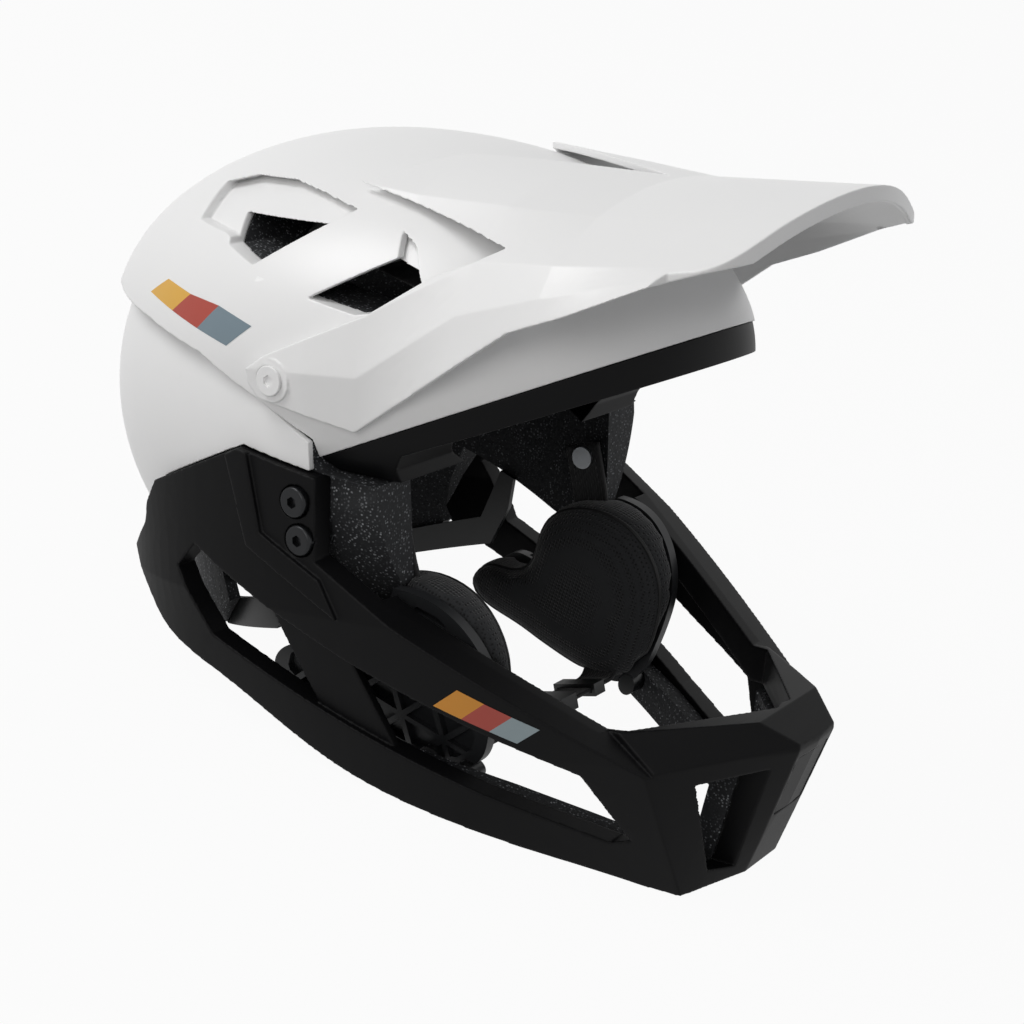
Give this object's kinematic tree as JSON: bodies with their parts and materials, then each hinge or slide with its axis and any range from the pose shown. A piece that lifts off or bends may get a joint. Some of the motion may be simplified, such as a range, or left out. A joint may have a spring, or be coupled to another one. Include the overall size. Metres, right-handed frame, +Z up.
{
  "type": "downhill bike full face helmet",
  "caption": "White full face bicycle helmet with a chin guard, a tilting peak, foam liners, cheek pads, a nape cradle with a dial, and a buckled chin strap.",
  "frame": {"origin": "middle of the overall box on the surface that the helmet rests on", "axes": "+X to the wearer's left, +Y to the back of the head, +Z up, standing on the chin and the neck trim"},
  "size_m": [0.2282, 0.3642, 0.278],
  "materials": {
    "shell_white": "satin painted shell",
    "guard_black": "matte moulded guard",
    "visor_white": "satin moulded peak",
    "foam": "expanded bead foam",
    "trim": "satin moulded trim",
    "fitting": "moulded nylon",
    "plate": "moulded plate",
    "metal": "machined",
    "screw_black": "satin black",
    "padding": "brushed knit over foam",
    "webbing": "woven webbing"
  },
  "bodies": {
    "helmet": {"outer_shell": "shell_white", "lower_shell": "shell_white", "brow_trim": "trim", "crown_liner": "foam", "rear_liner": "foam", "neck_trim": "trim", "chin_guard": "guard_black", "chin_guard_liner": "foam", "nose_plate": "fitting", "guard_screws": "screw_black", "guard_inserts": "metal", "visor_screws": "screw_black", "visor_washers": "trim", "visor_inserts": "metal", "cheek_pad_left": "padding", "cheek_pad_right": "padding", "cheek_plate_left": "plate", "cheek_plate_right": "plate", "pad_snaps": "fitting", "brow_pad": "padding", "crown_pad_centre": "padding", "crown_pad_left": "padding", "crown_pad_right": "padding", "nape_pad_left": "padding", "nape_pad_right": "padding", "strap_left": "webbing", "strap_right": "webbing", "strap_anchors": "metal", "strap_keeper": "fitting", "buckle_socket": "fitting", "buckle_tongue": "fitting"},
    "peak": {"visor": "visor_white"},
    "cradle": {"fit_cradle": "fitting"},
    "dial": {"fit_dial": "fitting"},
    "button": {"buckle_button": "fitting"}
  },
  "joints": [
    {"name": "peak_tilt", "type": "hinge", "parent": "helmet", "child": "peak", "pos_m": [0, 0.03135, 0.14955], "axis": [-1, 0, 0], "range_deg": [0, 12]},
    {"name": "cradle_draw", "type": "slide", "parent": "helmet", "child": "cradle", "axis": [0, -0.9518, 0.3067], "range_m": [0, 0.01]},
    {"name": "dial_turn", "type": "hinge", "parent": "cradle", "child": "dial", "pos_m": [0, 0.11378, 0.01951], "axis": [0, 0.9518, -0.3067], "range_deg": [0, 270]},
    {"name": "button_press", "type": "slide", "parent": "helmet", "child": "button", "axis": [0, 0.4964, 0.8681], "range_m": [0, 0.001], "stiffness_N_per_m": 400, "springref_m": -0.002}
  ],
  "couplings": [
    {"joint": "dial_turn", "follows": "cradle_draw", "rad_per_m": 471.2}
  ]
}
